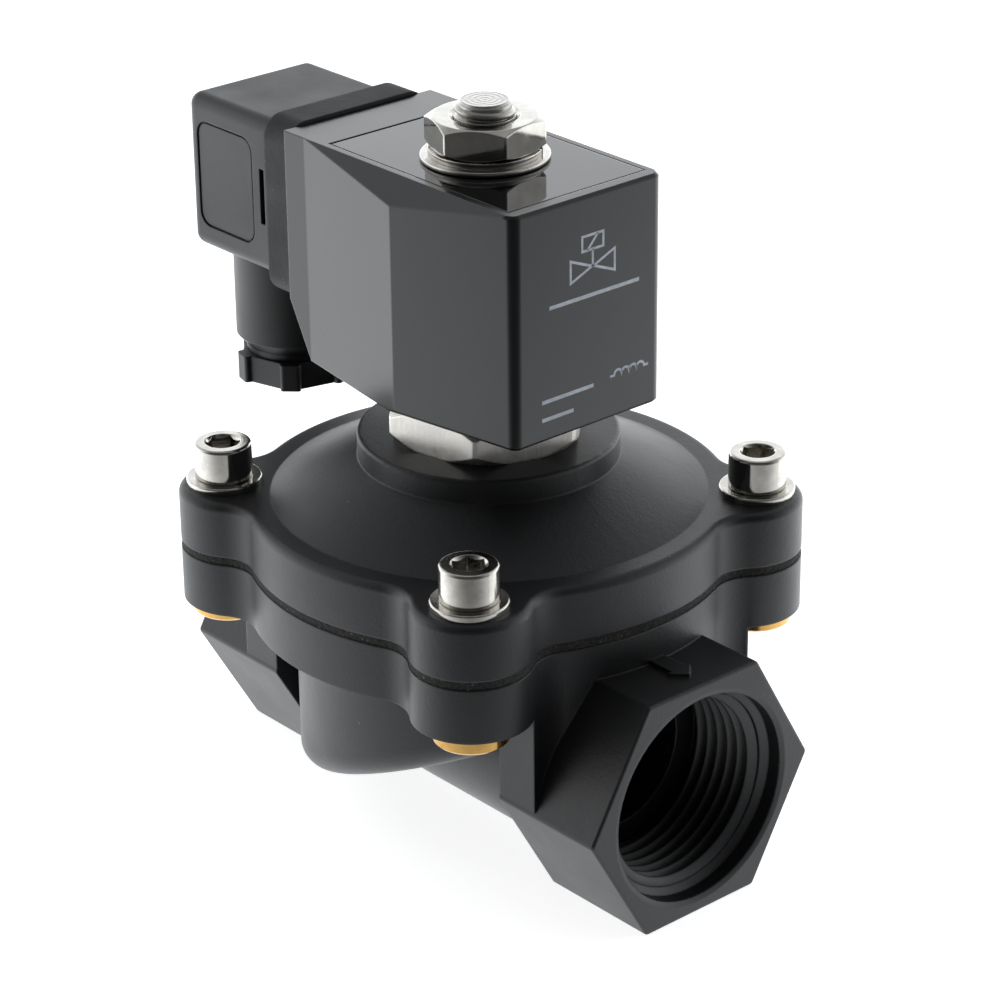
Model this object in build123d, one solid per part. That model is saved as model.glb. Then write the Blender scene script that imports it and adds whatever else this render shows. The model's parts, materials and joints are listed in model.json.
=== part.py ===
from build123d import *
from math import acos, atan2, cos, pi, radians, sin, sqrt, tan
import os

# Pilot-operated solenoid valve, normally closed. Millimetres, +Z up.
# Origin: where the pipe centre line crosses the armature axis. +X is the outlet, -X the inlet.

# Pipe ports, G 1 internal thread
port_thread_radius = 16.62
port_thread_depth = 19.0
port_mouth_radius = 18.6
port_mouth_bevel = 0.4
port_counterbore_radius = 17.8
port_counterbore_depth = 2.9
port_lead_in = 0.9
port_hex_flats = 41.0
port_hex_inner = 28.8
half_length = 50.8
flow_radius = 12.5
arrow_height = 0.6
arrow_tail_gap = 0.1
arrow_tip_gap = 3.2
arrow_head_length = 2.5
arrow_head_half_width = 2.5
arrow_shaft_half_width = 1.6
port_edge_round = 0.9

# Body casting
neck_radius = 17.55
bowl_radius = 32.4
bowl_wall = 3.0
bowl_floor_mid = -6.1
bowl_floor_slope = 0.45
bowl_round = 5.0
shoulder_half_width = 23.4
shoulder_bottom = 0.5
seat_wall = 3.0
seat_height = 20.5

# Bolted flange, shared by body, diaphragm and cover
rim_radius = 40.1
lobe_radius = 9.8
lobe_centre = 41.5
lobe_blend = 7.0
bolt_offset = 30.95
flange_bottom = 17.3
diaphragm_bottom = 26.55
diaphragm_thickness = 1.45
cover_flange_height = 9.4
clamp_radius = 29.4

# Cover
dome_radius = 35.9
dome_top = 44.0
boss_radius = 21.5
boss_top = 48.0
cover_ceiling = 40.0
cover_edge_round = 1.3

# Fasteners
bolt_radius = 2.95
bolt_hole_radius = 3.3
bolt_head_radius = 4.75
bolt_head_height = 6.0
bolt_socket_flats = 5.0
bolt_socket_depth = 3.4
bolt_length = 20.0
bolt_washer_radius = 6.25
bolt_washer_thickness = 1.2
insert_head_radius = 6.1
insert_head_height = 2.8
insert_shank_radius = 4.5
insert_shank_height = 7.6
thread_gap = 0.05

# Armature guide and tube
guide_shank_radius = 11.0
guide_hex_flats = 30.0
guide_hex_corner_radius = 17.1
guide_hex_top = 54.6
guide_hex_turn = 11.7
guide_hex_chamfer = 1.9
guide_shank_drop = 1.0
tube_radius = 8.0
tube_wall = 1.0
tube_end_gap = 0.9
running_gap = 0.06
coil_gap = 0.15
seal_ring_section = 0.95
seal_groove_width = 2.6
seal_groove_depth = 1.95

# Plunger and pilot
plunger_top = 72.0
plunger_lift = 8.0
plunger_pocket_radius = 3.6
plunger_pocket_depth = 3.0
plunger_seal_proud = 0.3
plunger_groove_depth = 0.9
spring_bore_depth = 14.0
plunger_spring_radius = 2.7
plunger_spring_wire = 0.35
shading_inner = 4.2
shading_outer = 5.4
shading_depth = 2.0
stud_radius = 4.9
stud_root_radius = 4.3
stud_proud = 2.5
stud_chamfer = 0.5

# Diaphragm and its moving centre
pad_radius = 18.0
pad_thickness = 3.2
web_thickness = 1.3
web_sag = 1.6
plate_radius = 16.6
plate_thickness = 2.5
nozzle_radius = 3.2
nozzle_flange_radius = 10.6
nozzle_flange_height = 2.2
nozzle_bore = 1.5
pilot_nut_flats = 11.0
pilot_nut_height = 2.2
nozzle_tip_height = 0.8
bleed_radius = 0.75
bleed_position = 14.0
diaphragm_spring_radius = 13.4
diaphragm_spring_wire = 0.6
part_gap = 0.3

# Coil
coil_bottom = 55.8
coil_top = 94.3
coil_front = 24.1
coil_half_width = 15.4
coil_bulge_x = -0.4
coil_bulge_half_width = 19.4
coil_bulge_drop = 3.6
coil_rear_taper = 5.1
coil_rear = -31.7
coil_rear_bottom = 65.4
coil_front_round = 1.7
coil_edge_chamfer = 0.5
yoke_thickness = 2.4
yoke_half_width = 14.0
yoke_front = 21.4
yoke_rear = -21.2
yoke_drop = 0.4
yoke_gap = 0.2
yoke_rear_gap = 0.5
yoke_groove_depth = 1.2
bobbin_radius = 17.2
bobbin_flange = 1.2
bobbin_tube_wall = 1.1
winding_radius = 16.4
nut_flats = 17.0
nut_height = 5.1
nut_turn = 38.3
coil_washer_radius = 10.4
coil_washer_thickness = 0.9
lock_washer_radius = 9.1
lock_washer_thickness = 1.0
lock_washer_slit = 1.0

# Plug connector, square flange with blades on 18 mm spacing
plug_centre_z = 79.85
gasket_half_width = 14.6
gasket_half_height = 15.4
gasket_drop = 0.35
gasket_thickness = 6.5
gasket_round = 3.8
gasket_window_half = 10.4
gasket_window_round = 1.5
housing_half_width = 13.1
housing_half_height = 13.5
housing_length = 23.2
housing_wall = 1.9
housing_round = 2.2
panel_half_length = 7.5
panel_half_height = 9.3
panel_centre_shift = -1.4
panel_depth = 0.5
panel_round = 2.6
latch_slot_width = 1.2
latch_slot_height = 9.6
latch_slot_depth = 0.9
blade_spacing = 18.0
blade_width = 6.3
blade_thickness = 0.8
blade_reach = 11.0
blade_root = 6.0
earth_drop = 8.6
block_half_width = 11.0
block_half_height = 10.6
block_length = 13.0
blade_slot_gap = 0.25
plug_screw_radius = 1.5
plug_screw_head_radius = 3.1
plug_screw_head_height = 2.4
plug_screw_recess_radius = 4.4
plug_screw_end = 5.0
coil_insert_radius = 2.6
terminal_screw_radius = 1.9
terminal_screw_height = 3.0

# Cable gland
neck_axis_inset = 10.6
gland_neck_radius = 10.1
gland_neck_end = 50.4
gland_shoulder_height = 2.0
gland_throat_radius = 8.4
gland_bore = 6.6
gland_nut_flats = 17.6
gland_nut_bottom = 42.6
gland_nut_top = 47.3
gland_nut_turn = 16.0
gland_lug_half_width = 1.75
gland_lug_reach = 10.3
gland_opening = 4.6
gland_washer_thickness = 0.8
grommet_bore = 3.6
grommet_length = 7.0

# Sizes worked out from the ones above
cover_bottom = diaphragm_bottom + diaphragm_thickness
cover_flange_top = cover_bottom + cover_flange_height
washer_top = cover_flange_top + bolt_washer_thickness
tube_bore = tube_radius - tube_wall
plunger_radius = tube_bore - running_gap
coil_bore = tube_radius + coil_gap
pad_top = seat_height + pad_thickness
plate_top = pad_top + plate_thickness
nozzle_tip = plate_top + pilot_nut_height + nozzle_tip_height
plunger_bottom = nozzle_tip + plunger_seal_proud
core_face = plunger_top + plunger_lift
gasket_rear = coil_rear - gasket_thickness
housing_rear = gasket_rear - housing_length
nut_bottom = coil_top + coil_washer_thickness + lock_washer_thickness
nut_top = nut_bottom + nut_height
tube_top = coil_top - tube_end_gap
stud_top = nut_top + stud_proud
coil_bulge_top = coil_top - coil_bulge_drop
coil_rear_start = coil_rear + coil_rear_taper
neck_axis_x = housing_rear + neck_axis_inset
bolt_places = [(sx * bolt_offset, sy * bolt_offset) for sx in (1, -1) for sy in (1, -1)]


def upright(radius, bottom, top, x=0.0, y=0.0):
    """A cylinder about a vertical axis between two heights."""
    middle = (bottom + top) / 2
    return Pos(x, y, middle) * Cylinder(radius, top - bottom)


def along_x(radius, start, end, y=0.0, z=0.0):
    """A cylinder about an axis parallel to X between two X positions."""
    middle = (start + end) / 2
    return Pos(middle, y, z) * Rot(0, 90, 0) * Cylinder(radius, end - start)


def block(x_span, y_span, z_span):
    """A box from its three spans."""
    size = [span[1] - span[0] for span in (x_span, y_span, z_span)]
    centre = [(span[0] + span[1]) / 2 for span in (x_span, y_span, z_span)]
    return Pos(*centre) * Box(*size)


def ring(outer, inner, bottom, top, x=0.0, y=0.0):
    """A flat ring about a vertical axis."""
    return upright(outer, bottom, top, x, y) - upright(inner, bottom - 1, top + 1, x, y)


def hex_prism(flats, bottom, top, turn=0.0):
    """A hexagonal prism about Z whose first corner stands at the given angle."""
    outline = RegularPolygon(flats / sqrt(3), 6, rotation=turn)
    return Pos(0, 0, bottom) * extrude(outline, amount=top - bottom)


def turned_chamfer(radius, inset, bottom, top):
    """The turned blank that rounds the corners of a nut: a cylinder with coned ends."""
    blank = upright(radius, bottom, top)
    return chamfer(blank.edges().filter_by(GeomType.CIRCLE), inset)


def spun(points):
    """A solid of revolution about Z from radius and height points."""
    face = make_face(Polyline(*[(r, 0, z) for r, z in points], close=True))
    return revolve(face, Axis.Z)


def point_at(centre, radius, angle):
    """The point at an angle, in radians, on a circle."""
    return (centre[0] + radius * cos(angle), centre[1] + radius * sin(angle))


def arc_between(centre, radius, start, end):
    """A circular arc from its centre, radius and two angles."""
    points = [point_at(centre, radius, start + (end - start) * share) for share in (0, 0.5, 1)]
    return ThreePointArc(*points)


def lobed_face(inset=0.0):
    """The flange outline: a round rim with four bolt lobes and concave blends between them."""
    rim = rim_radius - inset
    lobe = lobe_radius - inset
    blend = lobe_blend + inset
    to_blend = rim + blend
    lobe_to_blend = lobe + blend
    spread = acos((to_blend**2 + lobe_centre**2 - lobe_to_blend**2) / (2 * to_blend * lobe_centre))
    # Angle at the lobe's centre between the outward diagonal and the blend's centre
    reach_x = to_blend * cos(spread) - lobe_centre
    reach_y = to_blend * sin(spread)
    half_sweep = atan2(reach_y, reach_x)
    edges = []
    for quarter in range(4):
        diagonal = pi / 4 + quarter * pi / 2
        centre = point_at((0, 0), lobe_centre, diagonal)
        before = point_at((0, 0), to_blend, diagonal - spread)
        after = point_at((0, 0), to_blend, diagonal + spread)
        edges.append(arc_between(before, blend, diagonal - spread + pi, diagonal - half_sweep + pi))
        edges.append(arc_between(centre, lobe, diagonal - half_sweep, diagonal + half_sweep))
        edges.append(arc_between(after, blend, diagonal + half_sweep - pi, diagonal + spread - pi))
        edges.append(arc_between((0, 0), rim, diagonal + spread, diagonal + pi / 2 - spread))
    return make_face(edges)


def lobed_slab(bottom, top, inset=0.0):
    """The flange outline with thickness."""
    return Pos(0, 0, bottom) * extrude(lobed_face(inset), amount=top - bottom)


def bolt_holes(radius, bottom, top):
    """Round holes at the four bolt places."""
    return [upright(radius, bottom, top, x, y) for x, y in bolt_places]


def floor_height(x, lift=0.0):
    """Height of the bowl's sloping floor, low at the inlet and high at the outlet."""
    return bowl_floor_mid + bowl_floor_slope * x + lift


def bowl_shape(radius, top, lift=0.0):
    """A vertical cylinder whose bottom is the sloping floor."""
    deep = floor_height(-2 * radius, lift) - 10
    wedge = [
        (-2 * radius, floor_height(-2 * radius, lift)),
        (2 * radius, floor_height(2 * radius, lift)),
        (2 * radius, deep),
        (-2 * radius, deep),
    ]
    face = make_face(Polyline(*[(x, 0, z) for x, z in wedge], close=True))
    below = extrude(face, amount=2 * radius, both=True)
    return upright(radius, deep, top) - below


def body_part():
    """The moulded body: two hex ports, necks, bowl, seat tube and bolted flange."""
    bowl = bowl_shape(bowl_radius, flange_bottom)
    rounded = bowl.edges().filter_by(GeomType.ELLIPSE)
    shape = fillet(rounded, bowl_round)
    shape += along_x(neck_radius, -port_hex_inner, port_hex_inner)
    shape += lobed_slab(flange_bottom, diaphragm_bottom)
    for side in (1, -1):
        hexagon = Rot(0, 90, 0) * hex_prism(port_hex_flats, port_hex_inner, half_length, 90)
        hexagon = fillet(hexagon.edges().filter_by(Axis.X), port_edge_round)
        hexagon = fillet(hexagon.faces().sort_by(Axis.X)[-1].edges(), port_edge_round / 2)
        end = hexagon if side > 0 else mirror(hexagon, Plane.YZ)
        shape += end
        shape += shoulder(side)
    chamber_floor = bowl_wall * sqrt(1 + bowl_floor_slope**2)
    shape -= bowl_shape(bowl_radius - bowl_wall, diaphragm_bottom + 1, chamber_floor)
    tube = flow_radius + seat_wall
    shape += upright(tube, 0, seat_height) + along_x(tube, 0, port_hex_inner) + Sphere(tube)
    shape -= upright(flow_radius, 0, seat_height + 1)
    shape -= along_x(flow_radius, 0, half_length)
    shape -= Sphere(flow_radius)
    shape -= along_x(flow_radius, -half_length, -tube - 1.5)
    for side in (1, -1):
        mouth, end = side * half_length, side * (half_length - port_thread_depth)
        shape -= along_x(port_thread_radius, min(mouth, end), max(mouth, end))
        shape -= port_mouth(side)
    for x, y in bolt_places:
        shape -= upright(insert_shank_radius, flange_bottom - 1, flange_bottom + insert_shank_height, x, y)
        shape -= upright(bolt_hole_radius, flange_bottom, diaphragm_bottom + 1, x, y)
    return shape + flow_arrow()


def shoulder(side):
    """The wall between a port's hexagon and the flange, cut to the flange's own outline."""
    inner, outer = sorted((side * port_hex_inner, side * (rim_radius + 1)))
    wall = block((inner, outer), (-shoulder_half_width, shoulder_half_width), (shoulder_bottom, flange_bottom))
    return wall & lobed_slab(shoulder_bottom, flange_bottom)


def port_mouth(side):
    """The bevelled counterbore and the cone that lead a pipe into the thread."""
    step = half_length - port_counterbore_depth
    deep = step - port_lead_in
    profile = [
        (0, deep),
        (port_thread_radius, deep),
        (port_counterbore_radius, step),
        (port_counterbore_radius, half_length - port_mouth_bevel),
        (port_mouth_radius, half_length),
        (port_mouth_radius, half_length + 1),
        (0, half_length + 1),
    ]
    cone = Rot(0, 90, 0) * spun(profile)
    return cone if side > 0 else mirror(cone, Plane.YZ)


def flow_arrow():
    """The raised flow arrow on the outlet's top flat, pointing away from the bowl."""
    tail, tip = rim_radius + arrow_tail_gap, half_length - arrow_tip_gap
    neck = tip - arrow_head_length
    thin, wide = arrow_shaft_half_width, arrow_head_half_width
    outline = [(tail, -thin), (neck, -thin), (neck, -wide), (tip, 0), (neck, wide), (neck, thin), (tail, thin)]
    base = port_hex_flats / 2
    return Pos(0, 0, base) * extrude(make_face(Polyline(*outline, close=True)), amount=arrow_height)


def cover_part():
    """The bolted cover: lobed flange, coned dome and the boss that takes the armature guide."""
    slab = lobed_slab(cover_bottom, cover_flange_top)
    top_edges = slab.edges().group_by(Axis.Z)[-1]
    slab = fillet(top_edges, cover_edge_round)
    dome = spun([
        (0, cover_flange_top - 1),
        (dome_radius, cover_flange_top - 1),
        (dome_radius, cover_flange_top),
        (boss_radius, dome_top),
        (boss_radius, boss_top),
        (0, boss_top),
    ])
    cavity = spun([
        (0, cover_bottom - 1),
        (clamp_radius, cover_bottom - 1),
        (clamp_radius, cover_flange_top - 2),
        (boss_radius - 1.5, cover_ceiling),
        (0, cover_ceiling),
    ])
    boss_rim = dome.edges().filter_by(GeomType.CIRCLE).group_by(Axis.Z)[-1]
    dome = fillet(boss_rim, 0.6)
    shape = slab + dome - cavity
    shape -= upright(guide_shank_radius + thread_gap, cover_ceiling - 1, boss_top + 1)
    groove = guide_shank_radius + thread_gap + seal_groove_width
    shape -= upright(groove, boss_top - seal_groove_depth, boss_top + 1)
    for hole in bolt_holes(bolt_hole_radius, cover_bottom - 1, cover_flange_top + 1):
        shape -= hole
    return shape


def diaphragm_part():
    """The clamped rim of the diaphragm, which seals body to cover."""
    shape = lobed_slab(diaphragm_bottom, cover_bottom, 0.15)
    shape -= upright(clamp_radius, diaphragm_bottom - 1, cover_bottom + 1)
    for hole in bolt_holes(bolt_hole_radius, diaphragm_bottom - 1, cover_bottom + 1):
        shape -= hole
    return shape


def web_part():
    """The flexing part of the diaphragm: a thin rolled ring from the clamped rim to the pad."""
    outer = clamp_radius
    inner = pad_radius + part_gap
    high = (diaphragm_bottom + cover_bottom) / 2
    low = seat_height + pad_thickness / 2
    half = web_thickness / 2
    middle = (outer + inner) / 2
    dip = (high + low) / 2 - web_sag
    lower = Spline((outer, 0, high - half), (middle, 0, dip - half), (inner, 0, low - half))
    upper = Spline((inner, 0, low + half), (middle, 0, dip + half), (outer, 0, high + half))
    ends = [
        Line((inner, 0, low - half), (inner, 0, low + half)),
        Line((outer, 0, high + half), (outer, 0, high - half)),
    ]
    return revolve(make_face([lower, ends[0], upper, ends[1]]), Axis.Z)


def pad_part():
    """The thick rubber centre of the diaphragm, which closes the seat."""
    shape = upright(pad_radius, seat_height, pad_top)
    shape -= upright(nozzle_radius, seat_height - 1, pad_top + 1)
    shape -= upright(bleed_radius, seat_height - 1, pad_top + 1, bleed_position)
    return shape


def plate_part():
    """The stiff disc on top of the pad, with a rim that centres the closing spring."""
    shape = upright(plate_radius, pad_top, plate_top)
    dish = diaphragm_spring_radius + diaphragm_spring_wire + 0.4
    hub = diaphragm_spring_radius - diaphragm_spring_wire - 0.4
    shape -= ring(dish, hub, plate_top - 0.8, plate_top + 1)
    shape -= upright(nozzle_radius, pad_top - 1, plate_top + 1)
    shape -= upright(bleed_radius, pad_top - 1, plate_top + 1, bleed_position)
    return shape


def nozzle_part():
    """The pilot nozzle: a flanged bolt through pad and plate whose tip is the pilot seat."""
    bottom = seat_height - nozzle_flange_height
    shape = spun([
        (0, bottom),
        (nozzle_flange_radius - 1, bottom),
        (nozzle_flange_radius, bottom + 1),
        (nozzle_flange_radius, seat_height),
        (nozzle_radius, seat_height),
        (nozzle_radius, nozzle_tip - 0.6),
        (nozzle_bore + 0.5, nozzle_tip),
        (0, nozzle_tip),
    ])
    return shape - upright(nozzle_bore, bottom - 1, nozzle_tip + 1)


def pilot_nut_part():
    """The thin nut that clamps the moving centre together."""
    shape = hex_prism(pilot_nut_flats, plate_top, plate_top + pilot_nut_height)
    corner = pilot_nut_flats / sqrt(3)
    shape &= turned_chamfer(corner, 0.4, plate_top, plate_top + pilot_nut_height)
    return shape - upright(nozzle_radius, plate_top - 1, nozzle_tip)


def coil_spring(mean_radius, wire_radius, bottom, top, turns):
    """A round-wire compression spring between two heights."""
    low = bottom + wire_radius
    rise = top - bottom - 2 * wire_radius
    path = Pos(0, 0, low) * Helix(rise / turns, rise, mean_radius)
    section = Plane(path @ 0, z_dir=path % 0) * Circle(wire_radius)
    return sweep(section, path=path, is_frenet=True)


def diaphragm_spring_part():
    """The spring that presses the moving centre onto the seat."""
    bottom = plate_top - 0.8 + 0.02
    return coil_spring(diaphragm_spring_radius, diaphragm_spring_wire, bottom, cover_ceiling - 0.02, 3.5)


def plunger_part():
    """The sliding armature with its seal pocket, spring bore and flow grooves."""
    shape = upright(plunger_radius, plunger_bottom, plunger_top)
    ends = shape.edges().filter_by(GeomType.CIRCLE)
    shape = chamfer(ends, 0.5)
    shape -= upright(plunger_pocket_radius, plunger_bottom - 1, plunger_bottom + plunger_pocket_depth)
    shape -= upright(plunger_pocket_radius, plunger_top - spring_bore_depth, plunger_top + 1)
    for side in (1, -1):
        edge = side * plunger_radius
        inner = side * (plunger_radius - plunger_groove_depth)
        span = tuple(sorted((inner, edge + side)))
        shape -= block(span, (-0.9, 0.9), (plunger_bottom - 1, plunger_top + 1))
    return shape


def plunger_seal_part():
    """The rubber pellet that closes the pilot nozzle."""
    return upright(plunger_pocket_radius, nozzle_tip, plunger_bottom + plunger_pocket_depth)


def plunger_spring_part():
    """The return spring between the plunger's bore and the fixed core."""
    bottom = plunger_top - spring_bore_depth + 0.02
    return coil_spring(plunger_spring_radius, plunger_spring_wire, bottom, core_face - 0.02, 13)


def core_part():
    """The fixed core with its shading-ring groove and threaded stud."""
    shape = upright(tube_bore, core_face, tube_top)
    stud = upright(stud_radius, tube_top, nut_top) + upright(stud_root_radius, nut_top, stud_top)
    tip = stud.edges().filter_by(GeomType.CIRCLE).group_by(Axis.Z)[-1]
    shape += chamfer(tip, stud_chamfer)
    return shape - ring(shading_outer, shading_inner, core_face - 1, core_face + shading_depth)


def shading_ring_part():
    """The copper ring in the core's face that steadies the pull on alternating current."""
    return ring(shading_outer, shading_inner, core_face, core_face + shading_depth)


def tube_part():
    """The thin non-magnetic tube that the plunger slides in."""
    bottom = cover_ceiling - guide_shank_drop
    return ring(tube_radius, tube_bore, bottom, tube_top)


def guide_part():
    """The guide: a threaded shank in the cover's boss and a spanner hexagon above it."""
    hexagon = hex_prism(guide_hex_flats, boss_top, guide_hex_top, guide_hex_turn)
    hexagon &= turned_chamfer(guide_hex_corner_radius, guide_hex_chamfer, boss_top, guide_hex_top)
    shape = hexagon + upright(guide_shank_radius, cover_ceiling - guide_shank_drop, boss_top)
    return shape - upright(tube_radius, cover_ceiling - 2, guide_hex_top + 1)


def guide_seal_part():
    """The O-ring in the boss under the guide."""
    radius = guide_shank_radius + thread_gap + seal_groove_width / 2
    return Pos(0, 0, boss_top - seal_groove_depth / 2) * Torus(radius, seal_ring_section)


def coil_seat_part():
    """The rubber washer between the guide and the coil's lower plate."""
    return ring(tube_radius + 5, tube_radius + 0.2, guide_hex_top, coil_bottom - yoke_drop)


def inserts_part():
    """Brass threaded inserts, one pushed up into each lobe of the body."""
    solids = []
    for x, y in bolt_places:
        head = upright(insert_head_radius, flange_bottom - insert_head_height, flange_bottom, x, y)
        low_edge = head.edges().filter_by(GeomType.CIRCLE).group_by(Axis.Z)[0]
        shape = chamfer(low_edge, 0.35)
        shape += upright(insert_shank_radius, flange_bottom, flange_bottom + insert_shank_height, x, y)
        bore = bolt_radius + thread_gap
        solids.append(shape - upright(bore, flange_bottom - 10, flange_bottom + 20, x, y))
    return solids


def bolt_washers_part():
    """Flat washers under the cap screws."""
    bore = bolt_radius + 0.25
    solids = []
    for x, y in bolt_places:
        disc = ring(bolt_washer_radius, bore, cover_flange_top, washer_top, x, y)
        edges = disc.edges().filter_by(GeomType.CIRCLE).group_by(Axis.Z)[-1]
        solids.append(chamfer(edges.sort_by(SortBy.RADIUS)[-1], 0.2))
    return solids


def bolts_part():
    """Socket head cap screws that hold the cover on the body."""
    solids = []
    for index, (x, y) in enumerate(bolt_places):
        head = upright(bolt_head_radius, washer_top, washer_top + bolt_head_height)
        rim = head.edges().filter_by(GeomType.CIRCLE).group_by(Axis.Z)[-1]
        head = fillet(rim, 0.5)
        foot = head.edges().filter_by(GeomType.CIRCLE).group_by(Axis.Z)[0]
        head = chamfer(foot, 0.2)
        top = washer_top + bolt_head_height
        head -= hex_prism(bolt_socket_flats, top - bolt_socket_depth, top + 1, 17 * index + 8)
        funnel = bolt_socket_flats / sqrt(3)
        head -= spun([(0, top - 0.5), (funnel - 0.35, top - 0.5), (funnel + 0.15, top + 0.1), (0, top + 0.1)])
        shank = upright(bolt_radius, washer_top - bolt_length, washer_top)
        tip = shank.edges().filter_by(GeomType.CIRCLE).group_by(Axis.Z)[0]
        shank = chamfer(tip, 0.5)
        solids.append(Pos(x, y, 0) * (head + shank))
    return solids


def coil_plan(y_sign):
    """Half of the coil's plan, from the front corner to the rear face."""
    return [
        (coil_front, y_sign * coil_half_width),
        (coil_bulge_x, y_sign * coil_bulge_half_width),
        (coil_rear_start, y_sign * coil_half_width),
        (coil_rear, y_sign * coil_half_width),
    ]


def cut_below(points, depth):
    """A thick slab whose one face passes through three points, for cutting on its far side."""
    plane = Plane(origin=points[0], x_dir=Vector(*points[1]) - Vector(*points[0]), z_dir=normal_of(points))
    return plane * Pos(0, 0, depth / 2) * Box(400, 400, depth)


def normal_of(points):
    """The unit normal of the plane through three points."""
    first = Vector(*points[1]) - Vector(*points[0])
    second = Vector(*points[2]) - Vector(*points[0])
    return first.cross(second).normalized()


def coil_block():
    """The coil's outer form: a box that swells around the winding and narrows to the connector."""
    outline = coil_plan(-1) + list(reversed(coil_plan(1)))
    shape = Pos(0, 0, coil_bottom) * extrude(make_face(Polyline(*outline, close=True)), amount=coil_top - coil_bottom)
    for side in (1, -1):
        front = (coil_front, side * coil_half_width, coil_top)
        rear = (coil_rear_start, side * coil_half_width, coil_top)
        bulge = (coil_bulge_x, side * coil_bulge_half_width, coil_bulge_top)
        points = [front, rear, bulge] if side > 0 else [rear, front, bulge]
        if normal_of(points).Z < 0:
            points.reverse()
        shape -= cut_below(points, 30)
    low = (coil_rear_start, 0, coil_bottom)
    high = (coil_rear, 0, coil_rear_bottom)
    side_point = (coil_rear, 10, coil_rear_bottom)
    points = [low, high, side_point]
    if normal_of(points).Z > 0:
        points.reverse()
    shape -= cut_below(points, 30)
    upright_edges = shape.edges().filter_by(Axis.Z).group_by(Axis.X)[-1]
    shape = fillet(upright_edges, coil_front_round)
    level_edges = shape.edges().filter_by(Axis.Y).group_by(Axis.X)[-1]
    return chamfer(level_edges, coil_edge_chamfer)


def yoke_part():
    """The C-shaped steel yoke: top plate, rear web and bottom plate with holes for the tube."""
    width = (-yoke_half_width, yoke_half_width)
    low = coil_bottom - yoke_drop
    shape = block((yoke_rear, yoke_front), width, (coil_top - yoke_thickness, coil_top))
    shape += block((yoke_rear, yoke_front), width, (low, low + yoke_thickness))
    shape += block((yoke_rear, yoke_rear + yoke_thickness), width, (low, coil_top))
    return shape - upright(coil_bore, low - 1, coil_top + 1)


def winding_space():
    """The space inside the encapsulation for bobbin and winding."""
    low = coil_bottom - yoke_drop + yoke_thickness
    return upright(bobbin_radius, low, coil_top - yoke_thickness)


def encapsulation_part():
    """The moulded jacket around winding and yoke."""
    shape = coil_block()
    width = (-yoke_half_width - yoke_gap, yoke_half_width + yoke_gap)
    groove = block((yoke_rear - yoke_rear_gap, yoke_front + yoke_gap), width, (coil_top - yoke_groove_depth, coil_top + 1))
    shape -= groove
    shape -= yoke_part()
    shape -= winding_space()
    shape -= upright(coil_bore, coil_bottom - 1, coil_top + 1)
    for blade in blades_part() + [earth_blade_part()]:
        shape -= blade
    shape -= coil_insert_part()
    hole_end = coil_rear + plug_screw_end + 1.5
    return shape - along_x(plug_screw_radius + thread_gap, coil_rear - 1, hole_end, 0, plug_centre_z)


def bobbin_part():
    """The flanged bobbin that carries the winding."""
    low = coil_bottom - yoke_drop + yoke_thickness
    high = coil_top - yoke_thickness
    shape = upright(coil_bore + bobbin_tube_wall, low, high)
    shape += upright(bobbin_radius, low, low + bobbin_flange)
    shape += upright(bobbin_radius, high - bobbin_flange, high)
    return shape - upright(coil_bore, low - 1, high + 1)


def winding_part():
    """The copper winding as one closed ring."""
    low = coil_bottom - yoke_drop + yoke_thickness + bobbin_flange
    high = coil_top - yoke_thickness - bobbin_flange
    return ring(winding_radius, coil_bore + bobbin_tube_wall, low, high)


def winding_tape_part():
    """The insulating tape between the winding and the jacket."""
    low = coil_bottom - yoke_drop + yoke_thickness + bobbin_flange
    high = coil_top - yoke_thickness - bobbin_flange
    return ring(bobbin_radius, winding_radius, low, high)


def blades_part():
    """The two flat supply blades that stand out of the coil's rear face."""
    solids = []
    half = blade_width / 2
    for side in (1, -1):
        y = side * blade_spacing / 2
        width = (y - blade_thickness / 2, y + blade_thickness / 2)
        height = (plug_centre_z - half + 1.5, plug_centre_z + half + 1.5)
        solids.append(block((coil_rear - blade_reach, coil_rear + blade_root), width, height))
    return solids


def earth_blade_part():
    """The flat earth blade below the supply blades."""
    z = plug_centre_z - earth_drop
    height = (z - blade_thickness / 2, z + blade_thickness / 2)
    span = (coil_rear - blade_reach, coil_rear + blade_root)
    return block(span, (-blade_width / 2, blade_width / 2), height)


def coil_insert_part():
    """The brass insert in the coil that takes the plug's screw."""
    shape = along_x(coil_insert_radius, coil_rear, coil_rear + plug_screw_end + 1, 0, plug_centre_z)
    bore = plug_screw_radius + thread_gap
    return shape - along_x(bore, coil_rear - 1, coil_rear + plug_screw_end + 2, 0, plug_centre_z)


def rounded_bar(x_span, half_y, half_z, round_radius):
    """A bar along X with rounded long edges, centred on the plug's axis."""
    bar = block(x_span, (-half_y, half_y), (plug_centre_z - half_z, plug_centre_z + half_z))
    return fillet(bar.edges().filter_by(Axis.X), round_radius)


def gasket_part():
    """The thick profile gasket between coil and plug."""
    span = (gasket_rear, coil_rear)
    shape = Pos(0, 0, -gasket_drop) * rounded_bar(span, gasket_half_width, gasket_half_height, gasket_round)
    cutter = (gasket_rear - 1, coil_rear + 1)
    return shape - rounded_bar(cutter, gasket_window_half, gasket_window_half, gasket_window_round)


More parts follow.
